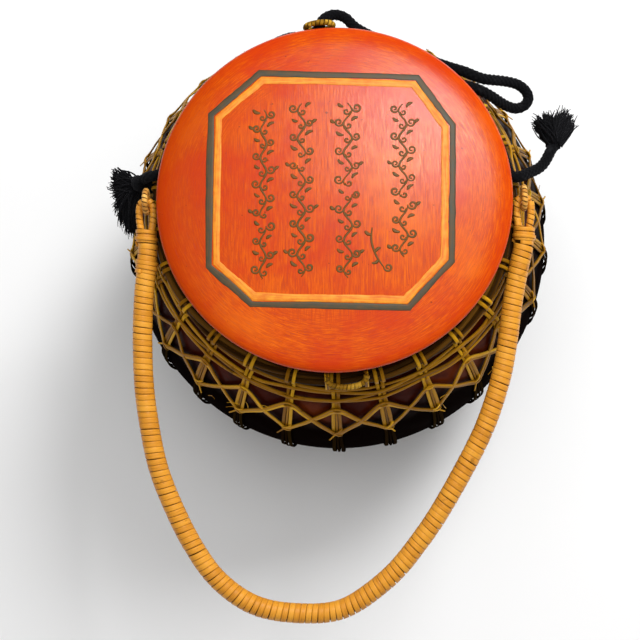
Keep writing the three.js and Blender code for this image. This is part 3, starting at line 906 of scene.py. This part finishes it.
def lashing(pile, azimuth, foot, turns, width, shift=0.0, extra=0.0):
    """Turns of cane that hold a ring loop's rod to the neck hoop."""
    hoop_reach, ring_reach = HOOP_ROD + 0.6 + extra, RING_ROD + 0.55 + extra
    across, rise = foot[0] - NECK_HOOP_RADIUS, foot[1] - NECK_HOOP_Z
    lean = math.atan2(rise, across)
    spread = math.pi / 2 - math.asin((hoop_reach - ring_reach) / math.hypot(across, rise))
    hoop_side = np.linspace(lean + spread, lean + 2 * math.pi - spread, 16)
    ring_side = np.linspace(lean - spread, lean + spread, 9)
    way = np.concatenate([hoop_side, ring_side])
    on_hoop = np.arange(len(way)) < len(hoop_side)
    reach = np.where(on_hoop, hoop_reach, ring_reach)
    flat = np.where(on_hoop, NECK_HOOP_RADIUS, foot[0]) + reach * np.cos(way)
    z = np.where(on_hoop, NECK_HOOP_Z, foot[1]) + reach * np.sin(way)
    round_once = np.linspace(0, 2 * math.pi, len(way), endpoint=False)
    for turn in range(turns):
        middle = shift + (turn - (turns - 1) / 2) * width * 1.02 + random.normal(0, 0.15)
        along = middle + random.normal(0, 0.35) * np.sin(round_once)
        path = at_azimuth(azimuth, flat, along, z)
        outward = at_azimuth(azimuth, np.cos(way), 0.0, np.sin(way))
        pile.strip(path, outward, width, 1.0, random.uniform(0.2, 0.9), closed=True)


SIDE_FOOT = (SIDE_RING_X, NECK_HOOP_Z + 6.2)
BACK_FOOT = (124.6, NECK_HOOP_Z + 8.6)
FRONT_FOOT = (NECK_HOOP_RADIUS, NECK_HOOP_Z + 12.1)
# For each ring: azimuth, foot, half its width, half its height (or a bail's drop), lean, finish, lashing turns.
RINGS = {
    "right": (0.0, SIDE_FOOT, 7.2, 7.2, 0.0, BINDING_CANE, 3),
    "left": (math.pi, SIDE_FOOT, 7.2, 7.2, 0.0, BINDING_CANE, 3),
    "back": (math.radians(94.6), BACK_FOOT, 9.4, 6.6, 0.0, RING_CANE, 4),
    "front": (math.radians(-86.2), FRONT_FOOT, 13.2, 9.0, math.radians(124), RING_CANE, 3),
}


def rings():
    """The wound rings and their lashings. The front one is a bail, lashed at both ends."""
    for side, (azimuth, foot, half_width, half_height, lean, finish, turns) in RINGS.items():
        bail = side == "front"
        path = (bail_path if bail else ring_path)(azimuth, foot, half_width, half_height, lean)
        pile = Pile()
        wound_rod(pile, path, 2.0, 2.6)
        pile.make(f"wound_ring_{side}", finish, f"ring_loop_{side}")
        pile = Pile()
        if bail:
            for end in (-1, 1):
                lashing(pile, azimuth, (foot[0] - 0.4, foot[1] - 2.5), turns, 1.15, end * half_width, 0.3)
        else:
            lashing(pile, azimuth, foot, turns, 1.7)
        pile.make(f"wound_lashing_{side}", NET_CANE, f"ring_lashing_{side}")


# ---- Handle ----
# The bow from its left end to its right end, as [x, reach from the pivots].
HANDLE_ROUTE = [
    (-SIDE_RING_X, HANDLE_START), (-SIDE_RING_X, HANDLE_START + 5), (-128.8, 46), (-130.6, 67), (-131.9, 97),
    (-130.4, 131), (-122.6, 176), (-113.2, 203.5), (-100, 231), (-79.7, 259), (-56, 275.5), (-25, 281),
    (4, 278), (33.4, 258.3), (56.6, 231), (74.4, 204), (99.5, 157), (111, 123), (116, 97), (121, 65),
    (124.8, 46), (SIDE_RING_X, HANDLE_START + 5), (SIDE_RING_X, HANDLE_START),
]
# One side of an eye, from the bow down to the ring, as [half width, reach from the pivots].
EYE_HALF = [(2.8, HANDLE_START + 4), (2.9, HANDLE_START - 1), (3.6, 20), (4.6, 13.5), (4.8, 8), (4.3, 2.8),
            (2.4, 0.3)]


def in_handle(points):
    """Places [x, reach] points of the handle's own plane in the frame, at rest."""
    x, reach = np.asarray(points, float).T
    return np.column_stack([x, -reach * math.cos(HANDLE_TILT), PIVOT_Z - reach * math.sin(HANDLE_TILT)])


def handle():
    """The wound bow with its raised binding, and at each end an eye with the winding round its neck."""

    def wound(name, node, *windings):
        pile = Pile()
        for spine, *sizes in windings:
            wind(pile, spine, *sizes)
        pile.make(name, HANDLE_CANE, node, body="handle")

    path = smooth_path(in_handle(HANDLE_ROUTE), 2.0)
    sideways = wander(len(path), 18, 0.35)
    path = path + np.column_stack([sideways, np.zeros(len(path)), wander(len(path), 18, 0.25)])
    bow = Spine(path)
    pile = Pile()
    pile.tube(path, HANDLE_RADIUS - 1.5, 0.3)
    pile.make("handle_rod", HOOP_RATTAN, "handle_core", body="handle")
    wound("handle_winding", "handle_binding", (bow, HANDLE_RADIUS - 0.5, 4.1, 4.02, 0.95, 0.0, None, 0.11))
    wound("handle_bump", "binding_band", (bow, HANDLE_RADIUS + 0.3, 3.2, 3.0, 1.0, 12, 22, 0.2))
    for side, x in (("left", -SIDE_RING_X), ("right", SIDE_RING_X)):
        down = [(x - off, reach) for off, reach in EYE_HALF]
        back = [(x + off, reach) for off, reach in EYE_HALF[::-1]]
        pile = Pile()
        wound_rod(pile, smooth_path(in_handle([*down, (x, -0.4), *back]), 1.0), 2.45, 3.3, 0.22)
        pile.make(f"wound_eye_{side}", HANDLE_CANE, f"handle_eye_{side}", body="handle")
        neck = Spine(in_handle([(x, HANDLE_START + above) for above in (3.2, -1, -5, -9)]))
        wound(f"wound_neck_{side}", f"eye_lashing_{side}", (neck, 6.8, 2.9, 2.7, 1.0, 0.0, None, 0.25),
              (neck, 7.5, 3.3, 2.4, 0.9, 1.0, 8.0, 0.3))


bowl_shell()
lid()
lid_paint()
hoop("neck_hoop", NECK_HOOP)
hoop("foot_hoop", FOOT_HOOP)
columns()
band()
zigzag("inner", 0)
zigzag("outer", 1)
ties()
rings()
handle()


# ---- Tie cord ----
KNOT_CENTRE = (-132.6, 17.6, 244.3)
# The cord's middle line in the frame: left end, through the back ring, the bight at the right, right end.
CORD_ROUTE = [
    (-131, 18.5, 254.3), (-127, 18.5, 259.5), (-122, 19, 260.7), (-117.5, 21, 260.2), (-112.5, 36, 260.1),
    (-99, 65, 260.1), (-77, 90, 260.1), (-48, 109.5, 260.3), (-31, 117.2, 261), (-20.5, 117.6, 260.9),
    (-14.5, 118.1, 261.1), (-11.6, 121.2, 263.8), (-9, 125.7, 265.8), (-6.2, 129.6, 265), (0, 133.2, 262.6),
    (7.2, 132, 260.9), (16, 123.8, 260.6), (58, 103.2, 260.4), (78, 95.2, 260.2), (90.5, 91, 260.1),
    (97, 88.5, 259), (103, 87.4, 256.3), (119.6, 88.8, 246.5), (128.4, 88.3, 241), (134, 84.9, 237.5),
    (135.9, 80.3, 236), (133.7, 75.4, 236), (128.1, 72.6, 236.5), (121.2, 72.6, 240.5), (107, 76.2, 254.5),
    (101.3, 77.9, 258.6), (95.5, 79.8, 260.2), (86.8, 81.6, 260.1), (95, 71, 260.1), (113, 36, 260.1),
    (120.3, 16.3, 260.5), (124.8, 15.6, 260.2), (131, 18.9, 256), (142.6, 27.3, 247.6), (151.6, 43.2, 242),
]
BRAID_STRANDS = 6
BRAID_REPEAT = 11.0


def braid(pile, path, radius, sides=42):
    """A round braid along a path: strands cross over and under each other as they wind both ways."""
    spine = Spine(path)
    angle = np.linspace(0, 2 * math.pi, sides, endpoint=False)
    turn = angle[None, :] * BRAID_STRANDS / (2 * math.pi)
    climb = spine.reach[:, None] * BRAID_STRANDS / BRAID_REPEAT / 2
    right, left = turn + climb, turn - climb
    right_part, left_part = right % 1, left % 1
    over = (np.floor(right) + np.floor(left)) % 2 == 0
    near = np.where(over, right_part, left_part)
    far = np.where(over, left_part, right_part)
    height = np.sqrt(np.sin(math.pi * near)) * (0.45 + 0.55 * np.sin(math.pi * far))
    size = radius * (0.8 + 0.24 * height + wander(len(path), 50, 0.025)[:, None])
    outward = spine.side[:, None] * np.cos(angle)[:, None] + spine.rise[:, None] * np.sin(angle)[:, None]
    rings = spine.points[:, None] + outward * size[..., None]
    pile.skin(rings, near * 2 - 1, spine.reach, 0.5)


cord_path = smooth_path(CORD_ROUTE, 0.55)
cord_pile = Pile()
braid(cord_pile, cord_path, CORD_DIAMETER / 2)
tie_cord = cord_pile.make("tie_cord_braid", COTTON, "tie_cord")


def overhand_knot():
    """A tight overhand knot of the same cord."""
    pile = Pile()
    t = np.linspace(0, 2 * math.pi, 260, endpoint=False)
    x = (np.sin(t) + 2 * np.sin(2 * t)) * 2.1
    y = (np.cos(t) - 2 * np.cos(2 * t)) * 2.1
    z = -np.sin(3 * t) * 3.1
    loop = np.stack([x * 0.95, z, y * 0.95], axis=1) + KNOT_CENTRE
    braid(pile, loop, CORD_DIAMETER / 2 * 0.92, 30)
    return pile.make("tie_cord_overhand_knot", COTTON, "tie_cord_knot")


def frayed_brush(side, start, heading, tips, count, spread):
    """Loose yarns that leave the cord's end along `heading` and gather towards a few tips."""
    pile = Pile()
    start, heading = np.array(start, float), unit(np.array(heading, float))
    t = np.linspace(0, 1, 10)[:, None]
    for number in range(count):
        tip = np.array(tips[number % len(tips)], float)
        beside = np.array(tips[(number + 1) % len(tips)], float)
        reach = tip + (beside - tip) * random.uniform(0, 0.55) - start
        reach = reach * random.uniform(0.55, 1.02) + random.normal(0, spread, 3)
        root = start + random.normal(0, 1.6, 3)
        bow = random.normal(0, 1.6, 3) * np.sin(math.pi * t)
        path = root + reach * t**1.2 + heading * 9.0 * t * (1 - t) + bow
        path = path + random.normal(0, 0.16, path.shape) * t
        radius = random.uniform(0.42, 0.68) * (1 - 0.62 * t[:, 0] ** 2)
        pile.tube(path, radius, random.uniform(), FIBRE_SECTION)
    return pile.make(f"frayed_brush_{side}", COTTON, f"frayed_end_{side}")


knot = overhand_knot()
brush_left = frayed_brush(
    "left", (-137.5, 16, 241), (-1, 0.1, -0.3),
    [(-153.5, 29, 240), (-156.5, 22, 238), (-156, 14, 235), (-154, 5, 231), (-151.5, -3, 227),
     (-147, -11, 225), (-141, -16, 224), (-143, -6, 229)],
    1400, 1.0,
)
brush_right = frayed_brush(
    "right", (151.8, 43.6, 242), (0.3, 1, -0.2),
    [(160, 71, 236), (165.5, 68, 236), (166, 61, 237), (159, 66, 237), (149, 68.5, 238), (141, 66, 238),
     (137.5, 60, 239), (143, 61, 239)],
    1500, 0.8,
)


# ---- Floor and light ----
def floor():
    """The plain pale ground just below the bowl's foot, in metres."""
    look = Look("floor", Roughness=0.9, Specular_IOR_Level=0.1)
    look.colour(look.mix(look.noise(look.place(), 3.0), (0.86, 0.86, 0.86), (0.9, 0.9, 0.9)))
    mesh = bpy.data.meshes.new("floor")
    half = 6.0
    ground = [(-half, -half, 0), (half, -half, 0), (half, half, 0), (-half, half, 0)]
    mesh.from_pydata(ground, [], [(0, 1, 2, 3)])
    mesh.materials.append(look.material)
    piece = bpy.data.objects.new("floor", mesh)
    piece.location.z = -0.0005
    bpy.context.scene.collection.objects.link(piece)


def softbox(name, location, target, size, power, shines=True, lights=True):
    """A square lamp. It can be left out of reflections, or be seen in reflections only."""
    lamp = bpy.data.lights.new(name, "AREA")
    lamp.shape = "SQUARE"
    lamp.size = size
    lamp.energy = power
    holder = bpy.data.objects.new(name, lamp)
    holder.location = location
    holder.visible_glossy = shines
    holder.visible_diffuse = lights
    bpy.context.scene.collection.objects.link(holder)
    aim(holder, target)


floor()
softbox("key", (0.7, 0.85, 1.65), (0.0, 0.0, 0.2), 0.7, 27, shines=False)
softbox("sheen", (0.24, 0.66, 1.77), (0.05, 0.05, 0.28), 0.36, 13, lights=False)
softbox("overhead", (0.0, 0.1, 2.6), (0.0, 0.0, 0.0), 2.2, 30, shines=False)
world = bpy.data.worlds.new("world")
bpy.context.scene.world = world
world.use_nodes = True
background = world.node_tree.nodes["Background"].inputs
background["Color"].default_value = (1, 1, 1, 1)
background["Strength"].default_value = 0.32
world.cycles_visibility.glossy = False
bpy.context.scene.view_settings.view_transform = "Standard"
